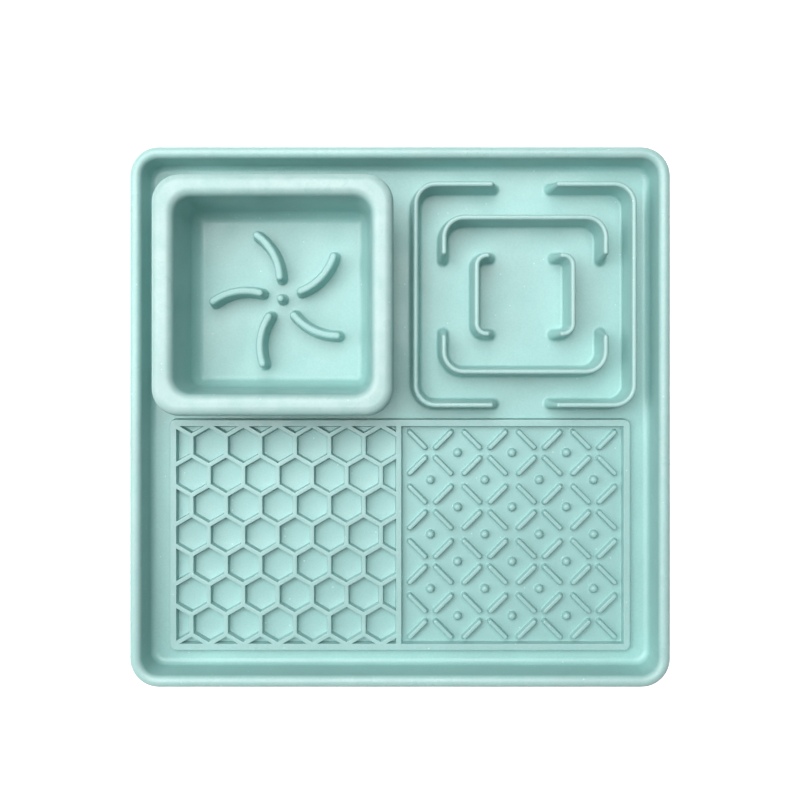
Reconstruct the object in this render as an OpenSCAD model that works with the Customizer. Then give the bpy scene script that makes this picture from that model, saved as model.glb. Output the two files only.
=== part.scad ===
// Pet feeding mat: a silicone tray with a moulded slow-feeding maze, a lift-out bowl,
// a lift-out lick plate and push-in suction cups. Millimetres, +Z up, +Y towards the bowl.
// The origin is on the surface the cups stand on, under the middle of the tray.

/* [Tray] */
// Thickness of the tray floor
floor_t = 3.6; // [2.8:0.1:6]
// Corner radius of the flat floor
floor_corner_r = 4.7; // [0.5:0.1:12]
// Height of the rim above the floor
rim_h = 17.5; // [12:0.5:40]
// Thickness of the rim at its rounded top
rim_t = 5.7; // [4.5:0.1:10]
// Lean of the rim's inside between its foot and its top
rim_lean = 0.4; // [0:0.1:4]
// Radius between the floor and the rim
rim_foot_r = 3.2; // [2:0.1:8]
// Lean of the rim's outside between its top and its hem
hem_lean = 2; // [0:0.1:3]
// Thickness of the hem that hangs below the floor
hem_t = 4.2; // [3:0.1:6]
// Gap between the hem and the surface below
hem_gap = 1; // [0.5:0.1:2.5]

/* [Seats] */
// Depth of the seats that hold the bowl and the lick plate
seat_depth = 1.8; // [0.8:0.1:2.2]
// Clearance all round a piece in its seat
seat_gap = 0.3; // [0.2:0.05:1]

/* [Layout] */
// Floor left of the bowl's rim
bowl_side_gap = 5.7; // [1:0.1:20]
// Floor behind the bowl's rim
bowl_back_gap = 7.4; // [1:0.1:20]
// Floor right of the maze
maze_side_gap = 4.7; // [1:0.1:20]
// Floor behind the maze
maze_back_gap = 5.3; // [1:0.1:20]
// Floor between the bowl's rim and the maze
middle_gap = 7.2; // [2:0.1:30]
// Floor between the upper row and the lick plate
row_gap = 3.2; // [2:0.1:30]
// Floor at each end of the lick plate
plate_side_gap = 7; // [1.5:0.1:20]
// Floor in front of the lick plate
plate_front_gap = 4.8; // [1.5:0.1:20]

/* [Bowl] */
// Width of the opening between the rim's inside edges
bowl_opening_w = 91.5; // [60:0.5:140]
// Width of the rolled rim
bowl_rim_w = 10.25; // [8:0.25:16]
// Depth of the rolled rim
bowl_rim_d = 8; // [7.5:0.25:14]
// Corner radius of the rim's outside
bowl_rim_corner_r = 13; // [11:0.5:24]
// Radius on the rim's upper outside edge
bowl_rim_edge_r = 4.2; // [1:0.1:4.8]
// Radius on the rim's lower outside edge
bowl_rim_under_r = 2.4; // [0.5:0.1:2.6]
// Radius on the rim's inside edge
bowl_mouth_r = 4.2; // [1:0.1:5]
// Depth from the top of the rim to the bowl floor
bowl_depth = 35.5; // [24:0.5:80]
// Thickness of the bowl's walls
bowl_wall_t = 2.6; // [1.6:0.1:5]
// Thickness of the bowl's floor
bowl_floor_t = 2.8; // [1.6:0.1:5]
// Lean of the walls between their foot and the rim
bowl_lean = 2.5; // [1:0.1:8]
// Radius between the bowl's floor and walls
bowl_foot_r = 4; // [0.5:0.1:6]
// Corner radius of the flat bowl floor
bowl_floor_corner_r = 0.3; // [0.2:0.1:8]

/* [Swirl] */
// Number of curved ribs on the bowl floor
swirl_count = 5; // [3:1:7]
// Width of a curved rib at its foot
swirl_foot_w = 5; // [3:0.1:7]
// Width of a curved rib at its rounded top
swirl_top_w = 3.6; // [1.5:0.1:4.4]
// Height of a curved rib
swirl_h = 12.5; // [4:0.5:24]
// Distance from the swirl's middle to the inner end of a rib's centre line
swirl_inner_r = 10.1; // [8:0.1:16]
// Distance from the swirl's middle to the outer end of a rib's centre line
swirl_outer_r = 33.1; // [24:0.1:35]
// Turn of a rib about the middle between its ends, in degrees
swirl_turn = 18.5; // [5:0.5:40]
// Radius that a rib is curved to
swirl_bend_r = 26.5; // [18:0.5:60]
// Direction of the first rib's inner end, in degrees
swirl_start = 92.4; // [0:0.2:360]
// Distance of the swirl's middle from the bowl's middle, towards the maze
swirl_x = 1.1; // [-3:0.1:3]

/* [Maze] */
// Height of the ribs above the floor
rib_h = 17; // [8:0.5:40]
// Width of a rib at its foot
rib_foot_w = 4.6; // [3:0.1:8]
// Width of a rib at its rounded top
rib_top_w = 2.3; // [1.2:0.1:3]
// Radius between a rib and the floor
rib_foot_r = 1.1; // [0.4:0.1:2]
// Outer ring, width between rib centres
outer_ring_w = 105; // [90:0.5:160]
// Outer ring, depth between rib centres
outer_ring_d = 106.2; // [90:0.5:160]
// Middle ring, width between rib centres
middle_ring_w = 77.8; // [66:0.1:90]
// Middle ring, depth between rib centres
middle_ring_d = 74.1; // [66:0.1:90]
// Inner brackets, width between rib centres
inner_ring_w = 46.3; // [42:0.1:54]
// Inner brackets, depth between rib centres
inner_ring_d = 37.7; // [26:0.1:50]
// Bend radius of the outer and middle rings
ring_bend_r = 9.6; // [5:0.1:14]
// Bend radius of the inner brackets
bracket_bend_r = 4.8; // [4.5:0.1:7]
// Clear way through the outer ring
outer_way = 21; // [12:0.5:40]
// Clear way through the middle ring
middle_way = 29; // [12:0.5:40]
// Clear way through the inner brackets
inner_way = 24.4; // [16:0.2:28]

/* [Lick plate] */
// Width of the plate
plate_w = 227.4; // [180:0.2:300]
// Depth of the plate
plate_d = 114; // [90:0.5:160]
// Thickness under the pads
plate_base_t = 1.5; // [1:0.1:3]
// Depth of the pads below the frame's top
pad_depth = 3.9; // [2:0.1:6]
// Width of the frame round the pads
frame_w = 3.5; // [2:0.1:6]
// Width of the divider between the pads
divider_w = 3; // [2:0.1:6]
// Place of the divider right of the plate's middle
divider_x = -0.6; // [-20:0.1:20]
// Corner radius of the plate
plate_corner_r = 3; // [1.5:0.1:10]
// Radius on the plate's top edge
plate_edge_r = 0.5; // [0.2:0.1:1.2]
// Honeycomb, distance between cell centres
cell_pitch = 17; // [10:0.2:26]
// Honeycomb, width of a cell wall
cell_wall_w = 2.4; // [1.2:0.1:4]
// Distance between the centres of the bar crosses
cross_pitch = 27; // [20:0.5:40]
// Length of a diagonal bar
bar_l = 13.7; // [8:0.1:15]
// Width of a diagonal bar
bar_w = 2.7; // [1.5:0.1:4]
// Height of the bars above the pad
bar_h = 3.5; // [1:0.1:3.9]
// Distance of a bar's middle from its cross's middle, along each side
bar_offset = 6.4; // [5.5:0.1:8]
// Diameter of the round studs between the crosses
dot_d = 4.5; // [2:0.1:6]
// Height of the round studs above the pad
dot_h = 3.1; // [1:0.1:3.7]

/* [Suction cups] */
// Suction cups along each side of the grid
cup_rows = 3; // [2:1:4]
// Distance of the outer cups' centres from the edge of the flat floor
cup_inset = 28.9; // [20:0.1:40]
// Diameter of a cup's lip
cup_d = 32; // [24:0.5:38]
// Height of a cup below its socket
cup_h = 3.2; // [2.6:0.1:6]
// Thickness of a cup at its lip
cup_lip_t = 0.9; // [0.5:0.1:1.5]
// Width of the flat lip that meets the surface
cup_lip_w = 1.2; // [0.6:0.1:3]
// Height of the hollow under a cup
cup_hollow_h = 1.7; // [0.8:0.1:2]
// Diameter of a cup's shoulder under its socket
cup_shoulder_d = 13; // [11:0.5:18]
// Diameter of a cup's neck
neck_d = 7.8; // [5:0.1:9]
// Diameter of the button that holds the neck in its socket
button_d = 10; // [9.2:0.1:12]
// Thickness of the button
button_t = 2; // [1:0.1:3]
// Length of the neck between the cup and the button
neck_l = 1.5; // [1:0.1:3]
// Clearance round the neck and the button in the socket
socket_gap = 0.1; // [0.05:0.05:0.4]
// Wall of the boss round a socket
boss_wall_t = 3.4; // [2:0.1:6]

/* [Hidden] */
$fn = 64;

CUPS = [for (i = [1:cup_rows * cup_rows]) str("suction_cup_", i)];

// Overlap that makes two joined shapes one solid, and cuts reach past a face
bite = 0.5;
// Difference that keeps two round surfaces from meeting along a line
ease = 0.05;
// Sides of the circle that shapes the wide, shallow hollow under a cup
hollow_sides = 400;

mint = [0.70, 0.88, 0.86];
pale_mint = [0.76, 0.91, 0.89];

// Heights
socket_depth = neck_l + button_t + socket_gap;
floor_under_z = cup_h + socket_depth;
floor_z = floor_under_z + floor_t;
rim_z = floor_z + rim_h;
seat_z = floor_z - seat_depth;
bowl_floor_z = seat_z + bowl_floor_t;
bowl_z = bowl_floor_z + bowl_depth;
plate_t = plate_base_t + pad_depth;
pad_z = seat_z + plate_base_t;

// Plan
bowl_w = bowl_opening_w + 2 * bowl_rim_w;
rib_spread = rib_foot_w + 2 * rib_foot_r;
maze_w = outer_ring_w + rib_spread;
maze_d = outer_ring_d + rib_spread;
upper_row_w = bowl_side_gap + bowl_w + middle_gap + maze_w + maze_side_gap;
upper_row_d = max(bowl_back_gap + bowl_w, maze_back_gap + maze_d);
floor_w = max(upper_row_w, plate_w + 2 * plate_side_gap);
floor_d = upper_row_d + row_gap + plate_d + plate_front_gap;
bowl_at = [
    -floor_w / 2 + bowl_side_gap + bowl_w / 2,
    floor_d / 2 - bowl_back_gap - bowl_w / 2,
    0
];
maze_at = [
    floor_w / 2 - maze_side_gap - maze_w / 2,
    floor_d / 2 - maze_back_gap - maze_d / 2,
    0
];
plate_at = [0, -floor_d / 2 + plate_front_gap + plate_d / 2, 0];

// Rim section, measured outwards from the floor's corner centre
rim_r = rim_t / 2;
rim_foot_x = floor_corner_r + rim_foot_r;
rim_in_x = rim_foot_x + rim_lean;
rim_out_x = rim_in_x + rim_t;
hem_out_x = rim_out_x - hem_lean;
hem_in_x = hem_out_x - hem_t;

// Bowl sections, measured outwards from the corner centres
bowl_half = bowl_opening_w / 2;
mouth_x = bowl_floor_corner_r + bowl_foot_r + bowl_lean;
bowl_core = bowl_half - mouth_x;
bowl_rim_core = bowl_w / 2 - bowl_rim_corner_r;
bowl_foot_x = bowl_floor_corner_r + bowl_foot_r;
bowl_base_x = bowl_foot_x + bowl_wall_t;
bowl_neck_x = mouth_x + bowl_wall_t;
bowl_base_w = 2 * (bowl_core + bowl_base_x);

// Lick plate
pad_d = plate_d - 2 * frame_w;
cells_from = frame_w - plate_w / 2;
cells_to = divider_x - divider_w / 2;
cells_w = cells_to - cells_from;
crosses_from = divider_x + divider_w / 2;
crosses_to = plate_w / 2 - frame_w;
crosses_w = crosses_to - crosses_from;
row_pitch = cell_pitch * sqrt(3) / 2;
cell_r = (cell_pitch - cell_wall_w) / sqrt(3);
cross_span = 2 * bar_offset + (bar_l - bar_w) / sqrt(2) + bar_w;

// Suction cups
cup_span = [floor_w - 2 * cup_inset, floor_d - 2 * cup_inset];
function cup_at(i) = [
    -cup_span.x / 2 + (i % cup_rows) * cup_span.x / (cup_rows - 1),
    -cup_span.y / 2 + floor(i / cup_rows) * cup_span.y / (cup_rows - 1),
    0
];

// A section swept round a rectangle whose corner centres lie at half.x and half.y
module sweep_round(half) {
    for (turn = [0:3]) {
        run = turn % 2 == 0 ? half.y : half.x;
        out = turn % 2 == 0 ? half.x : half.y;
        rotate(90 * turn) {
            translate([out, run, 0])
                rotate([90, 0, 0])
                    linear_extrude(2 * run)
                        children();
            translate([out, run, 0])
                rotate_extrude(angle = 90)
                    children();
        }
    }
}

// A flat plate between the corner centres, which closes a swept section
module core_plate(half, low, high) {
    translate([-half.x, -half.y, low])
        cube([2 * half.x, 2 * half.y, high - low]);
}

// An upright block with rounded corners
module round_block(w, d, r, low, high) {
    half = [w / 2 - r, d / 2 - r];
    core_plate(half, low, high);
    sweep_round(half)
        translate([0, low])
            square([r, high - low]);
}

module rim_section() {
    difference() {
        polygon([
            [0, floor_under_z],
            [hem_in_x, floor_under_z],
            [hem_in_x, hem_gap],
            [hem_out_x, hem_gap],
            [rim_out_x, rim_z - rim_r],
            [rim_in_x, rim_z - rim_r],
            [rim_foot_x, floor_z + rim_foot_r],
            [floor_corner_r, floor_z + rim_foot_r],
            [floor_corner_r, floor_z],
            [0, floor_z]
        ]);
        translate([floor_corner_r, floor_z + rim_foot_r])
            circle(rim_foot_r);
    }
    translate([rim_out_x - rim_r, rim_z - rim_r])
        circle(rim_r);
}

// A tapered section with a round top, from below the floor up
module tapered_section(foot_w, top_w, h) {
    translate([0, h - top_w / 2])
        circle(top_w / 2);
    polygon([
        [-foot_w / 2, -bite],
        [foot_w / 2, -bite],
        [foot_w / 2, 0],
        [top_w / 2, h - top_w / 2],
        [-top_w / 2, h - top_w / 2],
        [-foot_w / 2, 0]
    ]);
}

// The right half of a section, turned about its middle line
module turned(w, h, angle) {
    rotate_extrude(angle = angle)
        intersection() {
            children();
            translate([0, -bite])
                square([w, h + 2 * bite]);
        }
}

module rib_section() {
    tapered_section(rib_foot_w, rib_top_w, rib_h);
    for (side = [0, 1]) {
        mirror([side, 0])
            difference() {
                translate([0, -bite])
                    square([rib_spread / 2, rib_foot_r + bite]);
                translate([rib_spread / 2, rib_foot_r])
                    circle(rib_foot_r);
            }
    }
}

module rib_run(length) {
    rotate([90, 0, 0])
        linear_extrude(length)
            rib_section();
}

// A rib bent into a C that is open towards +X, with the clear way between its ends and their mirror image
module rib_c(w, d, bend, way) {
    spine = d / 2 - bend;
    arm_from = -w / 2 + bend;
    arm_to = -(way + rib_spread) / 2;
    translate([-w / 2, spine, 0])
        rib_run(2 * spine);
    for (side = [0, 1]) {
        mirror([0, side, 0]) {
            translate([arm_from, spine, 0])
                rotate(90)
                    rotate_extrude(angle = 90)
                        translate([bend, 0])
                            rib_section();
            translate([arm_from, d / 2, 0])
                rotate(90)
                    rib_run(arm_to - arm_from);
            translate([arm_to, d / 2, 0])
                rotate(-90)
                    turned(rib_spread, rib_h, 180)
                        rib_section();
        }
    }
}

module rib_ring(w, d, bend, way) {
    for (side = [0, 1]) {
        mirror([side, 0, 0])
            rib_c(w, d, bend, way);
    }
}

module maze() {
    rib_ring(outer_ring_w, outer_ring_d, ring_bend_r, outer_way);
    rotate(90)
        rib_ring(middle_ring_d, middle_ring_w, ring_bend_r, middle_way);
    rib_ring(inner_ring_w, inner_ring_d, bracket_bend_r, inner_way);
}

module bowl_seat() {
    w = bowl_base_w + 2 * seat_gap;
    translate(bowl_at)
        round_block(w, w, bowl_base_x + seat_gap, seat_z, floor_z + bite);
}

module plate_seat() {
    w = plate_w + 2 * seat_gap;
    d = plate_d + 2 * seat_gap;
    translate(plate_at)
        round_block(w, d, plate_corner_r + seat_gap, seat_z, floor_z + bite);
}

module cup_boss() {
    translate([0, 0, cup_h])
        cylinder(h = socket_depth + bite, d = button_d + 2 * socket_gap + 2 * boss_wall_t);
}

module cup_socket() {
    translate([0, 0, cup_h - bite])
        cylinder(h = neck_l + bite, d = neck_d + 2 * socket_gap);
    translate([0, 0, cup_h + neck_l])
        cylinder(h = button_t + socket_gap, d = button_d + 2 * socket_gap);
}

module tray() {
    half = [floor_w / 2 - floor_corner_r, floor_d / 2 - floor_corner_r];
    color(mint)
        difference() {
            union() {
                core_plate(half, floor_under_z, floor_z);
                sweep_round(half)
                    rim_section();
                translate(maze_at + [0, 0, floor_z])
                    maze();
                for (i = [0:len(CUPS) - 1]) {
                    translate(cup_at(i))
                        cup_boss();
                }
            }
            bowl_seat();
            plate_seat();
            for (i = [0:len(CUPS) - 1]) {
                translate(cup_at(i))
                    cup_socket();
            }
        }
}

// The bowl's outside below and within its rim
module bowl_shell_section() {
    polygon([
        [0, seat_z],
        [bowl_base_x, seat_z],
        [bowl_base_x, bowl_floor_z],
        [bowl_neck_x, bowl_z - bowl_rim_d],
        [bowl_neck_x, bowl_z],
        [0, bowl_z]
    ]);
}

// The rolled rim, from the wall outwards, with round outside edges
module bowl_rim_section() {
    low = bowl_z - bowl_rim_d;
    waist = [low + bowl_rim_under_r, bowl_z - bowl_rim_edge_r];
    translate([0, waist[0]])
        square([bowl_rim_corner_r, waist[1] - waist[0]]);
    translate([0, low])
        square([bowl_rim_corner_r - bowl_rim_under_r, bowl_rim_d / 2]);
    translate([0, bowl_z - bowl_rim_d / 2])
        square([bowl_rim_corner_r - bowl_rim_edge_r, bowl_rim_d / 2]);
    translate([bowl_rim_corner_r - bowl_rim_under_r, waist[0]])
        circle(bowl_rim_under_r);
    translate([bowl_rim_corner_r - bowl_rim_edge_r, waist[1]])
        circle(bowl_rim_edge_r);
}

// The bowl's inside, opening out round the rim's inside edge
module bowl_cavity_section() {
    difference() {
        polygon([
            [0, bowl_floor_z],
            [bowl_floor_corner_r, bowl_floor_z],
            [bowl_foot_x, bowl_floor_z],
            [bowl_foot_x, bowl_floor_z + bowl_foot_r],
            [mouth_x, bowl_z - bowl_mouth_r],
            [mouth_x + bowl_mouth_r, bowl_z - bowl_mouth_r],
            [mouth_x + bowl_mouth_r, bowl_z + bite],
            [0, bowl_z + bite]
        ]);
        translate([mouth_x + bowl_mouth_r, bowl_z - bowl_mouth_r])
            circle(bowl_mouth_r);
        difference() {
            translate([bowl_floor_corner_r, bowl_floor_z])
                square(bowl_foot_r);
            translate([bowl_floor_corner_r, bowl_floor_z + bowl_foot_r])
                circle(bowl_foot_r);
        }
    }
}

// A round peg like the section of a rib, a hair slimmer so that it ends a rib in a clear edge
module swirl_peg() {
    turned(swirl_foot_w, swirl_h, 360)
        tapered_section(swirl_foot_w - 2 * ease, swirl_top_w - 2 * ease, swirl_h - ease);
}

// A rib curved about a centre to one side of the line between its ends
module swirl_rib() {
    inner = swirl_inner_r * [cos(swirl_start), sin(swirl_start)];
    outer = swirl_outer_r * [cos(swirl_start + swirl_turn), sin(swirl_start + swirl_turn)];
    chord = outer - inner;
    away = sqrt(swirl_bend_r ^ 2 - norm(chord) ^ 2 / 4);
    centre = (inner + outer) / 2 + away * [-chord.y, chord.x] / norm(chord);
    from = atan2(inner.y - centre.y, inner.x - centre.x);
    sweep = 2 * asin(norm(chord) / 2 / swirl_bend_r);
    translate([centre.x, centre.y, 0])
        rotate(from)
            rotate_extrude(angle = sweep)
                translate([swirl_bend_r, 0])
                    tapered_section(swirl_foot_w, swirl_top_w, swirl_h);
    for (end = [inner, outer]) {
        translate([end.x, end.y, 0])
            swirl_peg();
    }
}

module swirl() {
    for (i = [0:swirl_count - 1]) {
        rotate(360 / swirl_count * i)
            swirl_rib();
    }
    swirl_peg();
}

module bowl() {
    core = [bowl_core, bowl_core];
    rim_core = [bowl_rim_core, bowl_rim_core];
    color(pale_mint)
        translate(bowl_at) {
            difference() {
                union() {
                    core_plate(core, seat_z, bowl_z);
                    sweep_round(core)
                        bowl_shell_section();
                    core_plate(rim_core, bowl_z - bowl_rim_d, bowl_z);
                    sweep_round(rim_core)
                        bowl_rim_section();
                }
                core_plate(core, bowl_floor_z, bowl_z + bite);
                sweep_round(core)
                    bowl_cavity_section();
            }
            translate([swirl_x, 0, bowl_floor_z])
                swirl();
        }
}

module plate_edge_section() {
    square([plate_corner_r, plate_t - plate_edge_r]);
    square([plate_corner_r - plate_edge_r, plate_t]);
    translate([plate_corner_r - plate_edge_r, plate_t - plate_edge_r])
        circle(plate_edge_r);
}

// Honeycomb cells cut off at the pad's edges; the middle row starts with a whole cell at the left
module honeycomb() {
    rows = ceil(pad_d / row_pitch / 2) + 1;
    first_x = (cell_pitch - cell_wall_w - cells_w) / 2;
    intersection() {
        square([cells_w, pad_d], center = true);
        for (row = [-rows:rows]) {
            shift = row % 2 == 0 ? 0 : cell_pitch / 2;
            for (x = [first_x - shift:cell_pitch:(cells_w + cell_pitch) / 2]) {
                translate([x, row * row_pitch])
                    rotate(30)
                        circle(cell_r, $fn = 6);
            }
        }
    }
}

module bar() {
    square([bar_l - bar_w, bar_w], center = true);
    for (end = [-1, 1]) {
        translate([end * (bar_l - bar_w) / 2, 0])
            circle(d = bar_w);
    }
}

// Four bars that point at the middle of a cross without meeting
module bar_cross() {
    for (turn = [0:3]) {
        rotate(90 * turn)
            translate([bar_offset, bar_offset])
                rotate(45)
                    bar();
    }
}

module dot() {
    rotate_extrude()
        intersection() {
            union() {
                translate([0, -bite])
                    square([dot_d / 2, dot_h - dot_d / 2 + bite]);
                translate([0, dot_h - dot_d / 2])
                    circle(d = dot_d);
            }
            translate([0, -bite])
                square([dot_d, dot_h + dot_d]);
        }
}

// Crosses fill the pad, with a round stud between each two neighbours
module crosses() {
    across = floor((crosses_w - cross_span) / cross_pitch) + 1;
    deep = floor((pad_d - cross_span) / cross_pitch) + 1;
    first = -cross_pitch / 2 * [across - 1, deep - 1];
    for (i = [0:across - 1], j = [0:deep - 1]) {
        at = first + cross_pitch * [i, j];
        translate([at.x, at.y, -bite])
            linear_extrude(bar_h + bite)
                bar_cross();
        if (i < across - 1) {
            translate([at.x + cross_pitch / 2, at.y, 0])
                dot();
        }
        if (j < deep - 1) {
            translate([at.x, at.y + cross_pitch / 2, 0])
                dot();
        }
    }
}

module lick_plate() {
    half = [plate_w / 2 - plate_corner_r, plate_d / 2 - plate_corner_r];
    color(mint)
        translate(plate_at) {
            difference() {
                translate([0, 0, seat_z]) {
                    core_plate(half, 0, plate_t);
                    sweep_round(half)
                        plate_edge_section();
                }
                translate([(cells_from + cells_to) / 2, 0, pad_z])
                    linear_extrude(pad_depth + bite)
                        honeycomb();
                translate([crosses_from, -pad_d / 2, pad_z])
                    cube([crosses_w, pad_d, pad_depth + bite]);
            }
            translate([(crosses_from + crosses_to) / 2, 0, pad_z])
                crosses();
        }
}

// Half of a disc's section, from a height upwards
module disc_section(z, d, t) {
    translate([0, z])
        square([d / 2, t]);
}

module cup_section() {
    lip_r = cup_d / 2;
    hollow_w = lip_r - cup_lip_w;
    hollow_r = (hollow_w ^ 2 + cup_hollow_h ^ 2) / (2 * cup_hollow_h);
    difference() {
        polygon([
            [0, 0],
            [lip_r, 0],
            [lip_r, cup_lip_t],
            [cup_shoulder_d / 2, cup_h],
            [0, cup_h]
        ]);
        translate([0, cup_hollow_h - hollow_r])
            circle(hollow_r, $fn = hollow_sides);
    }
    disc_section(cup_h - bite, neck_d, neck_l + bite);
    disc_section(cup_h + neck_l, button_d, button_t);
}

module suction_cup(i) {
    color(pale_mint)
        translate(cup_at(i))
            rotate_extrude()
                cup_section();
}

tray();
bowl();
lick_plate();
for (i = [0:len(CUPS) - 1]) {
    suction_cup(i);
}
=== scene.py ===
"""Pet feeding mat in moulded mint silicone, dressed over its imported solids.

Every piece is modelled in metres, in the solids' own frame: +Z up, +Y towards the bowl and the
maze, with the origin on the surface that the suction cups stand on.
"""

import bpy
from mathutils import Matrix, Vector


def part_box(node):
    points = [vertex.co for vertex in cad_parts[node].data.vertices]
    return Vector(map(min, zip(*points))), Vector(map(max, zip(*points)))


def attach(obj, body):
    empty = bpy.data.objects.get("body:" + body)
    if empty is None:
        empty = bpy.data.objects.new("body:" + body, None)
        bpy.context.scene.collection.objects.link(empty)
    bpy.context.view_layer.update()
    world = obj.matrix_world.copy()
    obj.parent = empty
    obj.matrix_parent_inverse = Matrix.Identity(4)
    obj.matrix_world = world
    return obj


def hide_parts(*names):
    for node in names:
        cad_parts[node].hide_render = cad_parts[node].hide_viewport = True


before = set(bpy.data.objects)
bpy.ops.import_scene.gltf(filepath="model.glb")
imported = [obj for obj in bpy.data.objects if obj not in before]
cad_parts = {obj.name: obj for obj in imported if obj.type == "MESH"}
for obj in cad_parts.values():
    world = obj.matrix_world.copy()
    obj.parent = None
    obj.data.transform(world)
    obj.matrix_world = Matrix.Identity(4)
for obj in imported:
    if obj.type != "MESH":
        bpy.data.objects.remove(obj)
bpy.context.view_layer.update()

from math import acos, asin, cos, pi, radians, sin, tan

import bmesh
import bpy
from bpy.props import FloatProperty, FloatVectorProperty, IntProperty, PointerProperty
from bpy.types import Operator, Panel, PropertyGroup
from mathutils import Matrix, Vector

bl_info = {
    "name": "Feeding Mat",
    "version": (1, 0, 0),
    "blender": (4, 5, 0),
    "location": "View3D > Sidebar > Feeding Mat",
    "description": "Models a silicone feeding mat with a bowl, a maze, a lick plate and suction cups",
    "category": "Add Mesh",
}

MM = 0.001

# Segments in a quarter turn of a swept corner, in a rounded edge, in a recess's edge and in a full turn
CORNER_STEPS = 12
EDGE_STEPS = 6
RECESS_STEPS = 4
TURN_STEPS = 48
# Flat strip kept beside a rounded edge, so that the large flat faces stay flat in the light, and a narrow
# one for places with less room
STRIP = 0.4 * MM
FINE_STRIP = 0.1 * MM
# Most of a face's inside radius that a recess in it may take up
RECESS_SHARE = 0.75
# Distance under which vertices are one, and height within which an edge lies in a plane
WELD = 0.002 * MM
LEVEL = 0.01 * MM
# Angle between two faces from which their edge is drawn sharp
SHARP = radians(38)

TRAY_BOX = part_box("tray")
BOWL_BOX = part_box("bowl")
PLATE_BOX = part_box("lick_plate")
CUP_NODES = sorted(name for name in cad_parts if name.startswith("suction_cup_"))


def length(name, description, mm):
    """A size in the panel, written in millimetres and kept in metres."""
    return FloatProperty(
        name=name, description=description, default=mm * MM, unit="LENGTH", precision=4
    )


def share(name, description, value):
    """A plain ratio in the panel."""
    return FloatProperty(
        name=name, description=description, default=value, subtype="FACTOR", min=0, max=1
    )


def angle(name, description, degrees):
    """An angle in the panel, written in degrees and kept in radians."""
    return FloatProperty(name=name, description=description, default=radians(degrees), subtype="ANGLE")


def count(name, description, number):
    """A number of like things in the panel."""
    return IntProperty(name=name, description=description, default=number, min=1)


def colour(name, description, rgb):
    """A colour in the panel, in linear light."""
    return FloatVectorProperty(
        name=name, description=description, default=rgb, subtype="COLOR", size=3, min=0, max=1
    )


class TraySizes(PropertyGroup):
    """Sizes of the tray's rim, floor and seats."""

    floor_t: length("Floor thickness", "Thickness of the tray floor", 3.6)
    floor_corner_r: length("Floor corner", "Corner radius of the flat floor", 4.7)
    rim_h: length("Rim height", "Height of the rim above the floor", 17.5)
    rim_t: length("Rim thickness", "Thickness of the rim at its rounded top", 5.7)
    rim_round: share("Rim roundness", "Radius of the rim's top for each unit of its thickness", 0.49)
    rim_lean: length("Rim lean", "Lean of the rim's inside between its foot and its top", 0.4)
    rim_foot_r: length("Rim foot radius", "Radius between the floor and the rim", 3.2)
    rim_tuck: length("Rim tuck", "Step of the rim's foot in towards the floor", 0.32)
    hem_lean: length("Hem lean", "Lean of the rim's outside between its top and its hem", 2)
    hem_t: length("Hem thickness", "Thickness of the hem that hangs below the floor", 4.2)
    hem_edge_r: length("Hem edge radius", "Radius on the hem's lower edges", 1.2)
    seat_gap: length("Seat clearance", "Clearance all round a piece in its seat", 0.3)
    seat_edge_r: length("Seat edge radius", "Radius on the seats' upper edges", 0.2)
    boss_wall_t: length("Boss wall", "Wall of the boss round a cup's socket", 3.4)
    boss_foot_r: length("Boss foot radius", "Radius between a boss and the floor above it", 1.2)
    boss_edge_r: length("Boss edge radius", "Radius on a boss's lower edge", 0.6)


class MazeSizes(PropertyGroup):
    """Sizes of the ribs moulded with the tray floor."""

    rib_h: length("Rib height", "Height of the ribs above the floor", 17)
    rib_foot_w: length("Rib foot", "Width of a rib at its foot", 4.6)
    rib_top_w: length("Rib top", "Width of a rib at its rounded top", 2.3)
    rib_round: share("Rib roundness", "Radius of a rib's top edges for each unit of its top's width", 0.48)
    rib_foot_r: length("Rib foot radius", "Radius between a rib and the floor", 1.3)
    end_slope: share("End slope", "Lean of the ribs' ends for each unit of height", 0.15)
    back_gap: length("Gap behind", "Floor behind the maze", 5.3)
    side_gap: length("Gap beside", "Floor right of the maze", 4.7)
    rib_spread: length("Rib spread", "Width of a rib with its foot radii", 6.8)
    outer_w: length("Outer ring width", "Outer ring, width between rib centres", 105)
    outer_d: length("Outer ring depth", "Outer ring, depth between rib centres", 106.2)
    middle_w: length("Middle ring width", "Middle ring, width between rib centres", 77.8)
    middle_d: length("Middle ring depth", "Middle ring, depth between rib centres", 74.1)
    inner_w: length("Inner brackets width", "Inner brackets, width between rib centres", 46.3)
    inner_d: length("Inner brackets depth", "Inner brackets, depth between rib centres", 37.7)
    ring_bend_r: length("Ring bend", "Bend radius of the outer and middle rings", 9.6)
    bracket_bend_r: length("Bracket bend", "Bend radius of the inner brackets", 4.8)
    outer_way: length("Outer way", "Clear way through the outer ring", 21)
    middle_way: length("Middle way", "Clear way through the middle ring", 29)
    inner_way: length("Inner way", "Clear way through the inner brackets", 24.4)


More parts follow.
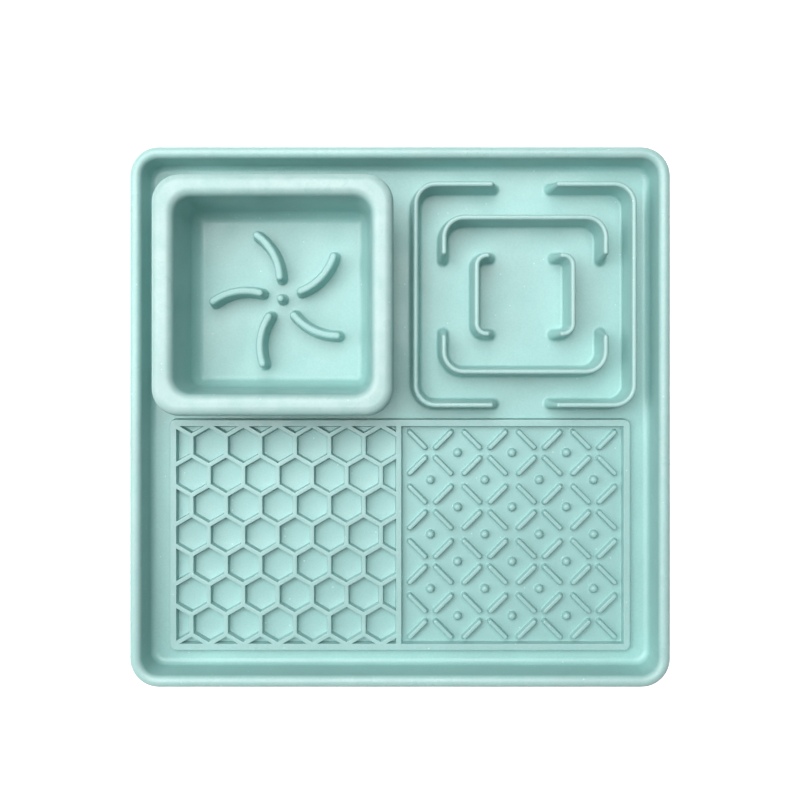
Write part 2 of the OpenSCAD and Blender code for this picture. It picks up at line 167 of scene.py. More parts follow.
class BowlSizes(PropertyGroup):
    """Sizes of the lift-out bowl and the swirl on its floor."""

    rim_w: length("Rim width", "Width of the rolled rim", 10.25)
    rim_d: length("Rim depth", "Depth of the rolled rim", 8)
    rim_corner_r: length("Rim corner", "Corner radius of the rim's outside", 13)
    rim_edge_r: length("Rim edge radius", "Radius on the rim's upper outside edge", 4.2)
    rim_under_r: length("Rim under radius", "Radius on the rim's lower outside edge", 2.4)
    mouth_r: length("Mouth radius", "Radius on the rim's inside edge", 4.2)
    mouth_corner_r: length("Mouth corner", "Corner radius of the opening", 8.3)
    floor_t: length("Floor thickness", "Thickness of the bowl's floor", 2.8)
    wall_t: length("Wall thickness", "Thickness of the bowl's walls", 2.6)
    lean: length("Wall lean", "Lean of the walls between their foot and the rim", 2.5)
    foot_w: length("Foot width", "Width of the slope between the floor and the walls", 4)
    crease_r: length("Crease radius", "Radius where the floor meets that slope", 4)
    knee_r: length("Knee radius", "Radius where that slope meets the walls", 8)
    base_edge_r: length("Base edge radius", "Radius on the bowl's lower edge", 1.6)
    swirl_count: count("Swirl ribs", "Curved ribs on the bowl floor", 5)
    swirl_foot_w: length("Swirl rib foot", "Width of a curved rib at its foot", 5)
    swirl_top_w: length("Swirl rib top", "Width of a curved rib at its top", 3.6)
    swirl_round: share("Swirl roundness", "Radius of the top edges for each unit of the top's width", 0.35)
    swirl_h: length("Swirl rib height", "Height of a curved rib", 12.5)
    swirl_foot_r: length("Swirl foot radius", "Radius between a curved rib and the floor", 0.8)
    swirl_end_slope: share("Swirl end slope", "Lean of the curved ribs' ends for each unit of height", 0.03)
    swirl_inner_r: length("Swirl inside", "Distance from the middle to a rib's inner end", 10.1)
    swirl_outer_r: length("Swirl outside", "Distance from the middle to a rib's outer end", 33.1)
    swirl_turn: angle("Swirl turn", "Turn of a rib between its ends", 18.5)
    swirl_bend_r: length("Swirl bend", "Radius that a rib is curved to", 26.5)
    swirl_start: angle("Swirl start", "Direction of the first rib's inner end", 92.4)
    swirl_x: length("Swirl place", "Distance of the swirl's middle from the bowl's, towards the maze", 1.1)


class PlateSizes(PropertyGroup):
    """Sizes of the lift-out lick plate, its honeycomb and its bar crosses."""

    corner_r: length("Corner", "Corner radius of the plate", 3)
    edge_r: length("Edge radius", "Radius on the plate's top edge", 0.5)
    base_edge_r: length("Base edge radius", "Radius on the plate's lower edge", 0.25)
    frame_w: length("Frame width", "Width of the frame round the pads", 3.5)
    divider_w: length("Divider width", "Width of the divider between the pads", 3)
    divider_x: length("Divider place", "Place of the divider right of the plate's middle", -0.6)
    pad_depth: length("Pad depth", "Depth of the pads below the frame's top", 3.9)
    pad_edge_r: length("Pad edge radius", "Radius on the upper edges of cells and pads", 0.25)
    cell_foot_r: length("Cell foot radius", "Radius where a cell's walls meet its floor", 0.3)
    cross_foot_r: length("Cross pad foot radius", "Radius where the cross pad's walls meet its floor", 0.3)
    pad_draft: length("Pad draft", "Lean of the walls of cells and pads", 0.35)
    cell_pitch: length("Cell pitch", "Honeycomb, distance between cell centres", 17)
    cell_wall_w: length("Cell wall", "Honeycomb, width of a cell wall", 2.4)
    cross_pitch: length("Cross pitch", "Distance between the centres of the bar crosses", 27)
    cross_count: count("Crosses", "Bar crosses along each side of the pad", 4)
    bar_l: length("Bar length", "Length of a diagonal bar", 13.7)
    bar_w: length("Bar width", "Width of a diagonal bar at its foot", 2.7)
    bar_top_w: length("Bar top", "Width of a diagonal bar at its top", 2.0)
    bar_h: length("Bar height", "Height of the bars above the pad", 3.5)
    bar_foot_r: length("Bar foot radius", "Radius between a bar and the pad", 0.35)
    bar_round: share("Bar roundness", "Radius of a bar's top edges for each unit of its top's width", 0.3)
    bar_end_slope: share("Bar end slope", "Lean of the bars' ends for each unit of height", 0.1)
    bar_offset: length("Bar offset", "Distance of a bar's middle from its cross's, along each side", 6.4)
    dot_d: length("Dot diameter", "Diameter of the round dots between the crosses", 4.5)
    dot_taper: share("Dot taper", "Width of a dot's rounded top for each unit of its diameter", 0.76)
    dot_h: length("Dot height", "Height of the round dots above the pad", 3.1)
    dot_foot_r: length("Dot foot radius", "Radius between a dot and the pad", 0.3)


class CupSizes(PropertyGroup):
    """Sizes of the push-in suction cups."""

    cup_h: length("Cup height", "Height of a cup below its socket", 3.2)
    lip_t: length("Lip thickness", "Thickness of a cup at its lip", 0.9)
    lip_w: length("Lip width", "Width of the flat lip that meets the surface", 1.2)
    lip_under_r: length("Lip under radius", "Radius on the lip's lower edge", 0.225)
    lip_edge_r: length("Lip edge radius", "Radius on the lip's upper edge", 0.36)
    hollow_h: length("Hollow height", "Height of the hollow under a cup", 1.7)
    hollow_flat: share("Hollow flat", "Part of a cup's radius where its hollow starts to fall", 0.5)
    shoulder_d: length("Shoulder diameter", "Diameter of a cup's shoulder under its socket", 13)
    shoulder_r: length("Shoulder radius", "Radius on a cup's shoulder", 0.8)
    neck_d: length("Neck diameter", "Diameter of a cup's neck", 7.8)
    button_d: length("Button diameter", "Diameter of the button that holds the neck", 10)
    button_t: length("Button thickness", "Thickness of the button", 2)
    button_under_r: length("Button under radius", "Radius on the button's lower edge", 0.4)
    button_edge_r: length("Button edge radius", "Radius on the button's upper edge", 0.7)
    socket_gap: length("Socket clearance", "Clearance round the neck and the button", 0.1)


class Finish(PropertyGroup):
    """Colours of the moulded silicone, and the highlight painted paler on its tops."""

    # The tray, the bowl and the plate are one silicone; their colours differ only as painted light and
    # shade, the tray's lighter and the bowl's and the plate's darker
    tray_lit_colour: colour("Tray", "Colour of the tray", (0.305, 0.535, 0.512))
    bowl_shaded_colour: colour("Bowl", "Colour of the bowl", (0.276, 0.49, 0.468))
    plate_shaded_colour: colour("Lick plate", "Colour of the lick plate", (0.287, 0.503, 0.484))
    cup_colour: colour("Suction cups", "Colour of the suction cups", (0.40, 0.63, 0.61))
    # The paler tops are a painted highlight, standing in for the light on the rims and the tops of the ribs
    tray_painted_highlight: share("Tray highlight", "Paleness of the tray's tops under the painted highlight", 0.14)
    tray_highlight_fade_h: length("Tray highlight height", "Height over which the tray's painted highlight fades", 3)
    bowl_painted_highlight: share("Bowl highlight", "Paleness of the bowl's rim under the painted highlight", 0.24)
    bowl_highlight_fade_h: length("Bowl highlight height", "Height over which the bowl's painted highlight fades", 3)
    plate_painted_highlight: share("Plate highlight", "Paleness of the plate's tops under the painted highlight", 0.08)
    plate_highlight_fade_h: length("Plate highlight height", "Height over which the plate's painted highlight fades", 0.8)


class StageSettings(PropertyGroup):
    """The camera and the lights."""

    camera_height: length("Camera height", "Height of the camera above the tray floor", 480)
    camera_y: length("Camera place", "Place of the camera along the mat's depth", 23.55)
    lens: FloatProperty(
        name="Lens", description="Focal length on a 36 mm sensor, in millimetres", default=43.45
    )
    shift_y: FloatProperty(name="Shift", description="Vertical shift of the lens", default=-0.04)
    key_power: FloatProperty(
        name="Key light", description="Power of the large soft light", default=21.4, unit="POWER"
    )
    side_power: FloatProperty(
        name="Side light", description="Power of the light at the left", default=7.7, unit="POWER"
    )
    fill_power: FloatProperty(
        name="Sky light", description="Strength of the even light all round", default=0.01
    )


class FeedingMat(PropertyGroup):
    """All the settings of the feeding mat."""

    tray: PointerProperty(type=TraySizes)
    maze: PointerProperty(type=MazeSizes)
    bowl: PointerProperty(type=BowlSizes)
    plate: PointerProperty(type=PlateSizes)
    cup: PointerProperty(type=CupSizes)
    finish: PointerProperty(type=Finish)
    stage: PointerProperty(type=StageSettings)


# Shapes


def verts_of(geom):
    """The vertices in what an operator gives back."""
    return [item for item in geom if isinstance(item, bmesh.types.BMVert)]


def verts_along(edges):
    """The vertices of some edges, each once."""
    return list({v for e in edges for v in e.verts})


def chain_of(geom):
    """The edges of an extruded or spun wire, without those that join it to the last one."""
    verts = set(verts_of(geom))
    return [
        item
        for item in geom
        if isinstance(item, bmesh.types.BMEdge) and item.verts[0] in verts and item.verts[1] in verts
    ]


def section(corners):
    """A new bmesh with a wire in the XZ plane through (x, z, radius) corners, rounded to those radii."""
    part = bmesh.new()
    verts = [part.verts.new((x, 0, z)) for x, z, _ in corners]
    for pair in zip(verts, verts[1:]):
        part.edges.new(pair)
    rounded = []
    for before, here, after, vert in zip(corners, corners[1:], corners[2:], verts[1:]):
        arriving = Vector((here[0] - before[0], here[1] - before[1])).normalized()
        leaving = Vector((after[0] - here[0], after[1] - here[1])).normalized()
        turn = acos(max(-1, min(1, arriving.dot(leaving))))
        if here[2]:
            rounded.append((vert, here[2] * tan(turn / 2)))
    for vert, offset in rounded:
        bmesh.ops.bevel(
            part, geom=[vert], offset=offset, offset_type="OFFSET", affect="VERTICES",
            segments=EDGE_STEPS, profile=0.5, material=-1, clamp_overlap=True,
        )
    return part


def sweep_round(part, half_x, half_y):
    """Sweeps a section round a rectangle whose corner centres lie at half_x and half_y."""
    bmesh.ops.translate(part, verts=part.verts, vec=(half_x, -half_y, 0))
    edges = part.edges[:]
    for out_x, out_y in ((1, 1), (-1, 1), (-1, -1), (1, -1)):
        run = (0, 2 * half_y * out_y, 0) if out_x == out_y else (2 * half_x * out_x, 0, 0)
        geom = bmesh.ops.extrude_edge_only(part, edges=edges)["geom"]
        bmesh.ops.translate(part, verts=verts_of(geom), vec=run)
        last = bmesh.ops.spin(
            part, geom=verts_of(geom) + chain_of(geom), cent=(half_x * out_x, half_y * out_y, 0),
            axis=(0, 0, 1), dvec=(0, 0, 0), angle=pi / 2, steps=CORNER_STEPS,
        )["geom_last"]
        edges = chain_of(last)
    bmesh.ops.remove_doubles(part, verts=part.verts, dist=WELD)
    return part


def turn_full(part, steps=TURN_STEPS):
    """Turns a section once round the Z axis."""
    bmesh.ops.spin(
        part, geom=part.verts[:] + part.edges[:], cent=(0, 0, 0), axis=(0, 0, 1), dvec=(0, 0, 0),
        angle=2 * pi, steps=steps, use_merge=True,
    )
    bmesh.ops.remove_doubles(part, verts=part.verts, dist=WELD)
    return part


def rib_section(foot_w, top_w, height, foot_r, top_r):
    """A rib's section, wider at its foot, with a rounded top and a radius where it meets the floor."""
    reach = foot_w / 2 + foot_r + STRIP
    return section(
        [
            (-reach, 0, 0),
            (-foot_w / 2, 0, foot_r),
            (-top_w / 2, height, top_r),
            (0, height, 0),
            (top_w / 2, height, top_r),
            (foot_w / 2, 0, foot_r),
            (reach, 0, 0),
        ]
    )


def peg(foot_d, top_d, height, foot_r, top_r):
    """A round peg, wider at its foot, with a rounded top and a radius where it meets the floor."""
    half = section(
        [
            (foot_d / 2 + foot_r + STRIP, 0, 0),
            (foot_d / 2, 0, foot_r),
            (top_d / 2, height, top_r),
            (0, height, 0),
        ]
    )
    return turn_full(half, 2 * CORNER_STEPS)


def round_end(part, chain, place, heading, way, slope):
    """Closes a rib's end with half a turn of half its section, and leans that end back by its slope."""
    right = Vector((sin(heading), -cos(heading), 0))
    half = [e for e in chain if all((v.co - place).dot(right) > -WELD for v in e.verts)]
    others = set(part.verts) - set(verts_along(chain))
    bmesh.ops.spin(
        part, geom=verts_along(half) + half, cent=place, axis=(0, 0, 1), dvec=(0, 0, 0), angle=way * pi,
        steps=CORNER_STEPS,
    )
    lean = Matrix.Identity(4)
    lean[0][2] = -way * slope * cos(heading)
    lean[1][2] = -way * slope * sin(heading)
    bmesh.ops.transform(part, matrix=lean, verts=[v for v in part.verts if v not in others])


def sweep_rib(part, moves, slope):
    """Sweeps a rib's section from the origin along +Y through (length, bend radius, angle) moves.

    A move runs straight for its length, then bends to the left by its angle. The ends are round and lean
    back by the slope.
    """
    place, heading = Vector((0, 0, 0)), pi / 2
    first = chain = part.edges[:]
    for run, bend_r, bend in moves:
        if run:
            step = Vector((cos(heading), sin(heading), 0)) * run
            geom = bmesh.ops.extrude_edge_only(part, edges=chain)["geom"]
            bmesh.ops.translate(part, verts=verts_of(geom), vec=step)
            place = place + step
            chain = chain_of(geom)
        if bend:
            centre = place + Vector((-sin(heading), cos(heading), 0)) * bend_r
            last = bmesh.ops.spin(
                part, geom=verts_along(chain) + chain, cent=centre, axis=(0, 0, 1), dvec=(0, 0, 0),
                angle=bend, steps=round(CORNER_STEPS * bend / (pi / 2)),
            )["geom_last"]
            place = centre + Matrix.Rotation(bend, 3, "Z") @ (place - centre)
            heading += bend
            chain = chain_of(last)
    round_end(part, first, Vector((0, 0, 0)), pi / 2, -1, slope)
    round_end(part, chain, place, heading, 1, slope)
    bmesh.ops.remove_doubles(part, verts=part.verts, dist=WELD)
    return part


def pour(bm, part, *places):
    """Adds a copy of a part to a piece at each place, and frees the part."""
    mesh = bpy.data.meshes.new("part")
    part.to_mesh(mesh)
    part.free()
    for place in places or (Matrix.Identity(4),):
        copy = mesh.copy()
        copy.transform(place)
        bm.from_mesh(copy)
        bpy.data.meshes.remove(copy)
    bpy.data.meshes.remove(mesh)


def at(x, y, z=0, turn=0):
    """A place, and a turn about the Z axis there."""
    return Matrix.Translation((x, y, z)) @ Matrix.Rotation(turn, 4, "Z")


def fill_level(bm, z):
    """Fills between the open edges that lie in a plane, leaving the loops inside other loops open."""
    edges = [e for e in bm.edges if e.is_boundary and all(abs(v.co.z - z) < LEVEL for v in e.verts)]
    bmesh.ops.triangle_fill(bm, edges=edges, use_beauty=True, use_dissolve=False, normal=(0, 0, 1))


def recess(bm, face, steps):
    """Sinks a face by (inset, depth) steps, smaller ones where the face is small."""
    inset = sum(step[0] for step in steps)
    inside_r = 2 * face.calc_area() / face.calc_perimeter()
    fit = min(1, RECESS_SHARE * inside_r / inset)
    for thickness, depth in steps:
        bmesh.ops.inset_individual(
            bm, faces=[face], thickness=thickness * fit, depth=-depth, use_even_offset=True
        )


def steps_between(points):
    """The step from each point to the next."""
    return [(b[0] - a[0], b[1] - a[1]) for a, b in zip(points, points[1:])]


def recess_steps(depth, edge_r, draft, foot_r):
    """The steps of a recess with a rounded upper edge, leaning walls and a rounded foot."""
    turns = [pi / 2 * i / RECESS_STEPS for i in range(RECESS_STEPS + 1)]
    edge = [(edge_r * sin(turn), edge_r * (1 - cos(turn))) for turn in turns]
    foot = [(foot_r * (1 - cos(turn)), foot_r * sin(turn)) for turn in turns]
    wall = (draft, depth - edge_r - foot_r)
    return steps_between(edge) + [wall] + steps_between(foot)


def finish_piece(bm, name, material, body, slot, *nodes):
    """Closes a piece's mesh, turns its faces outwards and sets it on its body in place of its solid."""
    bmesh.ops.remove_doubles(bm, verts=bm.verts, dist=WELD)
    bmesh.ops.dissolve_degenerate(bm, edges=bm.edges, dist=WELD)
    bmesh.ops.recalc_face_normals(bm, faces=bm.faces)
    # Spun and extruded faces come in another order each time, so they are sorted by their place
    for order, face in enumerate(sorted(bm.faces, key=lambda face: face.calc_center_median()[:])):
        face.index = order
    bm.faces.sort()
    mesh = bpy.data.meshes.new(name)
    bm.to_mesh(mesh)
    bm.free()
    mesh.shade_smooth()
    mesh.set_sharp_from_angle(angle=SHARP)
    mesh.materials.append(material)
    piece = bpy.data.objects.new(name, mesh)
    bpy.context.scene.collection.objects.link(piece)
    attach(piece, body)
    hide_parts(*nodes)


# Finish


# Colour of the highlight painted on the tops, and of lint
PAINTED_HIGHLIGHT_COLOUR = (0.80, 0.85, 0.84, 1)
LINT_COLOUR = (0.78, 0.87, 0.86, 1)


def silicone_skin():
    """A node group with the skin of moulded silicone: cloudy colour, grain, dust and a highlight painted
    paler on the tops.
    """
    group = bpy.data.node_groups.get("silicone_skin")
    if group:
        return group
    group = bpy.data.node_groups.new("silicone_skin", "ShaderNodeTree")
    group.interface.new_socket("Colour", in_out="INPUT", socket_type="NodeSocketColor")
    for name in ("Cloud", "Grain", "Dust", "Roughness", "Highlight", "Highlight From", "Highlight To"):
        group.interface.new_socket(name, in_out="INPUT", socket_type="NodeSocketFloat")
    group.interface.new_socket("Colour", in_out="OUTPUT", socket_type="NodeSocketColor")
    group.interface.new_socket("Roughness", in_out="OUTPUT", socket_type="NodeSocketFloat")
    group.interface.new_socket("Normal", in_out="OUTPUT", socket_type="NodeSocketVector")
    nodes, links = group.nodes, group.links
    given = nodes.new("NodeGroupInput").outputs
    out = nodes.new("NodeGroupOutput").inputs
    place = nodes.new("ShaderNodeTexCoord").outputs["Object"]

    def feed(socket, value):
        if isinstance(value, (int, float)):
            socket.default_value = value
        else:
            links.new(value, socket)

    def noise(scale, detail):
        node = nodes.new("ShaderNodeTexNoise")
        node.inputs["Scale"].default_value = scale
        node.inputs["Detail"].default_value = detail
        links.new(place, node.inputs["Vector"])
        return node.outputs["Fac"]

    def ramp(value, first, last, low=0, high=1):
        node = nodes.new("ShaderNodeMapRange")
        node.interpolation_type = "SMOOTHSTEP"
        for socket, amount in zip(node.inputs, (value, first, last, low, high)):
            feed(socket, amount)
        return node.outputs["Result"]

    def maths(operation, first, second):
        node = nodes.new("ShaderNodeMath")
        node.operation = operation
        feed(node.inputs[0], first)
        feed(node.inputs[1], second)
        return node.outputs["Value"]

    def mix(factor, first, second):
        node = nodes.new("ShaderNodeMix")
        node.data_type = "RGBA"
        feed(node.inputs["Factor"], factor)
        links.new(first, node.inputs["A"])
        node.inputs["B"].default_value = second
        return node.outputs["Result"]

    # Clouds: the pigment is a little uneven, from place to place and from grain to grain
    clouds = ramp(noise(scale=30, detail=3), 0.3, 0.7, low=-1)
    grains = ramp(noise(scale=1100, detail=2), 0.3, 0.7, low=-1)
    uneven = maths("MULTIPLY", maths("ADD", clouds, grains), given["Cloud"])
    tone = nodes.new("ShaderNodeHueSaturation")
    links.new(given["Colour"], tone.inputs["Color"])
    links.new(maths("ADD", uneven, 1), tone.inputs["Value"])

    # Painted highlight: the tops are painted paler, in patches, and are smoother there
    height = nodes.new("ShaderNodeSeparateXYZ")
    links.new(place, height.inputs["Vector"])
    on_top = ramp(height.outputs["Z"], given["Highlight From"], given["Highlight To"])
    patches = ramp(noise(scale=160, detail=4), 0.25, 0.7, low=0.55)
    painted_highlight = maths("MULTIPLY", maths("MULTIPLY", on_top, patches), given["Highlight"])
    paler = mix(painted_highlight, tone.outputs["Color"], PAINTED_HIGHLIGHT_COLOUR)

    # Dust: a few pale specks of lint that silicone draws to itself
    specks = nodes.new("ShaderNodeTexVoronoi")
    specks.inputs["Scale"].default_value = 420
    links.new(place, specks.inputs["Vector"])
    picked = nodes.new("ShaderNodeSeparateColor")
    links.new(specks.outputs["Color"], picked.inputs["Color"])
    near = ramp(specks.outputs["Distance"], 0.08, 0.2, low=1, high=0)
    few = maths("GREATER_THAN", picked.outputs["Red"], 0.95)
    dust = maths("MULTIPLY", maths("MULTIPLY", near, few), given["Dust"])
    dusty = mix(dust, paler, LINT_COLOUR)

    # Grain: the fine texture of a blasted mould, with patches that are rubbed smoother
    blotches = ramp(noise(scale=55, detail=4), 0.3, 0.7, low=-0.06, high=0.06)
    rubbed = maths("SUBTRACT", blotches, maths("MULTIPLY", painted_highlight, 0.15))
    rough = maths("ADD", maths("ADD", given["Roughness"], rubbed), maths("MULTIPLY", dust, 0.2))
    bump = nodes.new("ShaderNodeBump")
    bump.inputs["Distance"].default_value = 0.05 * MM
    links.new(given["Grain"], bump.inputs["Strength"])
    fine, coarse = noise(scale=2400, detail=2), noise(scale=800, detail=3)
    links.new(maths("ADD", fine, maths("MULTIPLY", coarse, 0.8)), bump.inputs["Height"])

    links.new(dusty, out["Colour"])
    links.new(rough, out["Roughness"])
    links.new(bump.outputs["Normal"], out["Normal"])
    return group


def silicone(name, rgb, skin_values):
    """Satin silicone of one colour, with the skin's own values for this piece."""
    material = bpy.data.materials.new(name)
    material.use_nodes = True
    nodes, links = material.node_tree.nodes, material.node_tree.links
    shader = nodes["Principled BSDF"]
    skin = nodes.new("ShaderNodeGroup")
    skin.node_tree = silicone_skin()
    skin.inputs["Colour"].default_value = (*rgb, 1)
    for socket, value in skin_values.items():
        skin.inputs[socket].default_value = value
    links.new(skin.outputs["Colour"], shader.inputs["Base Color"])
    links.new(skin.outputs["Roughness"], shader.inputs["Roughness"])
    links.new(skin.outputs["Normal"], shader.inputs["Normal"])
    shader.inputs["Subsurface Weight"].default_value = 0.1
    shader.inputs["Subsurface Radius"].default_value = (0.6, 1.0, 0.95)
    shader.inputs["Subsurface Scale"].default_value = 2 * MM
    return material


# Values of a clean and fine-grained skin without the painted highlight, and of a mould-grained one that is
# used daily
CLEAN_SKIN = {
    "Cloud": 0.015, "Grain": 0.15, "Dust": 0.2, "Roughness": 0.32,
    "Highlight": 0, "Highlight From": 0, "Highlight To": 1,
}
USED_SKIN = {"Cloud": 0.03, "Grain": 0.5, "Dust": 0.5, "Roughness": 0.34}


def highlighted_skin(painted_highlight, top_z, highlight_fade_h):
    """Values of a used skin whose painted highlight starts at the given height and fades below it."""
    return {**USED_SKIN, "Highlight": painted_highlight, "Highlight From": top_z - highlight_fade_h, "Highlight To": top_z}


# Pieces


def settings(context):
    """The mat's settings in the scene."""
    return context.scene.feeding_mat


class FEEDING_MAT_OT_tray(Operator):
    """Model the rimmed tray with its seats, maze and cup sockets"""

    bl_idname = "feeding_mat.tray"
    bl_label = "Tray"

    def execute(self, context):
        mat = settings(context)
        tray, maze, cup = mat.tray, mat.maze, mat.cup
        low, high = TRAY_BOX
        rim_z = high.z
        floor_z = rim_z - tray.rim_h
        under_z = floor_z - tray.floor_t
        seat_z = PLATE_BOX[0].z
        bm = bmesh.new()

        # Rim, from the floor over the top and down to the inside of the hem
        foot_x = tray.floor_corner_r + tray.rim_foot_r
        in_x = foot_x + tray.rim_lean
        out_x = in_x + tray.rim_t
        hem_x = out_x - tray.hem_lean
        top_r = tray.rim_round * tray.rim_t
        half_x, half_y = high.x - out_x, high.y - out_x
        rim = section(
            [
                (tray.floor_corner_r - STRIP, floor_z, 0),
                (foot_x - tray.rim_tuck, floor_z, tray.rim_foot_r),
                (in_x, rim_z, top_r),
                (out_x, rim_z, top_r),
                (out_x, rim_z - tray.rim_t, tray.rim_t),
                (hem_x, low.z, tray.hem_edge_r),
                (hem_x - tray.hem_t, low.z, tray.hem_edge_r),
                (hem_x - tray.hem_t, under_z, tray.hem_edge_r),
                (hem_x - tray.hem_t - 2 * tray.hem_edge_r, under_z, 0),
            ]
        )
        pour(bm, sweep_round(rim, half_x, half_y))

        # Seats for the bowl and the lick plate
        bowl_half = (BOWL_BOX[1] - BOWL_BOX[0]) / 2
        base_half = bowl_half.x - mat.bowl.rim_w - mat.bowl.lean + mat.bowl.wall_t
        bowl_base = Vector((base_half, base_half))
        bowl_base_r = mat.bowl.mouth_corner_r - mat.bowl.lean + mat.bowl.wall_t
        plate_half = (PLATE_BOX[1] - PLATE_BOX[0]) / 2
        seated = (
            (BOWL_BOX, bowl_base, bowl_base_r),
            (PLATE_BOX, plate_half, mat.plate.corner_r),
        )
        for box, half, corner_r in seated:
            wall_x = corner_r + tray.seat_gap
            seat = section(
                [
                    (wall_x + tray.seat_edge_r + STRIP, floor_z, 0),
                    (wall_x, floor_z, tray.seat_edge_r),
                    (wall_x, seat_z, 0),
                    (wall_x - STRIP, seat_z, 0),
                ]
            )
            middle = (box[0] + box[1]) / 2
            sweep_round(seat, half.x - corner_r, half.y - corner_r)
            pour(bm, seat, at(middle.x, middle.y))

        # Maze
        floor_x, floor_y = half_x + tray.floor_corner_r, half_y + tray.floor_corner_r
        maze_x = floor_x - maze.side_gap - (maze.outer_w + maze.rib_spread) / 2
        maze_y = floor_y - maze.back_gap - (maze.outer_d + maze.rib_spread) / 2
        rings = (
            (maze.outer_w, maze.outer_d, maze.ring_bend_r, maze.outer_way, 0),
            (maze.middle_d, maze.middle_w, maze.ring_bend_r, maze.middle_way, pi / 2),
            (maze.inner_w, maze.inner_d, maze.bracket_bend_r, maze.inner_way, 0),
        )
        rib_top_r = maze.rib_round * maze.rib_top_w
        for w, d, bend_r, way, turn in rings:
            half_way = (way + maze.rib_spread) / 2
            arm = w / 2 - bend_r - half_way
            rib = rib_section(maze.rib_foot_w, maze.rib_top_w, maze.rib_h, maze.rib_foot_r, rib_top_r)
            moves = [(arm, bend_r, pi / 2), (d - 2 * bend_r, bend_r, pi / 2), (arm, 0, 0)]
            sweep_rib(rib, moves, maze.end_slope)
            # The rib starts beside the way through the ring and heads away from it
            start = at(-half_way, d / 2, turn=pi / 2)
            middle = at(maze_x, maze_y, floor_z, turn)
            pour(bm, rib, middle @ start, middle @ Matrix.Rotation(pi, 4, "Z") @ start)

        # Bosses under the floor, each with the socket that holds a cup
        neck_x = cup.neck_d / 2 + cup.socket_gap
        button_x = cup.button_d / 2 + cup.socket_gap
        boss_x = button_x + tray.boss_wall_t
        socket_z = under_z - cup.button_t - cup.socket_gap
        boss = section(
            [
                (boss_x + tray.boss_foot_r + STRIP, under_z, 0),
                (boss_x, under_z, tray.boss_foot_r),
                (boss_x, cup.cup_h, tray.boss_edge_r),
                (neck_x, cup.cup_h, 0),
                (neck_x, socket_z, 0),
                (button_x, socket_z, 0),
                (button_x, under_z + STRIP, 0),
                (0, under_z + STRIP, 0),
            ]
        )
        cups = [(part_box(name)[0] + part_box(name)[1]) / 2 for name in CUP_NODES]
        pour(bm, turn_full(boss), *[at(middle.x, middle.y) for middle in cups])

        for level in (floor_z, seat_z, under_z):
            fill_level(bm, level)
        finish = mat.finish
        # The tray's tops get a highlight painted paler
        skin = highlighted_skin(finish.tray_painted_highlight, rim_z, finish.tray_highlight_fade_h)
        # Its colour is the lighter one, painted light
        material = silicone("tray_silicone", finish.tray_lit_colour, skin)
        finish_piece(bm, "moulded_tray", material, "mat", "tray_silicone", "tray")
        return {"FINISHED"}


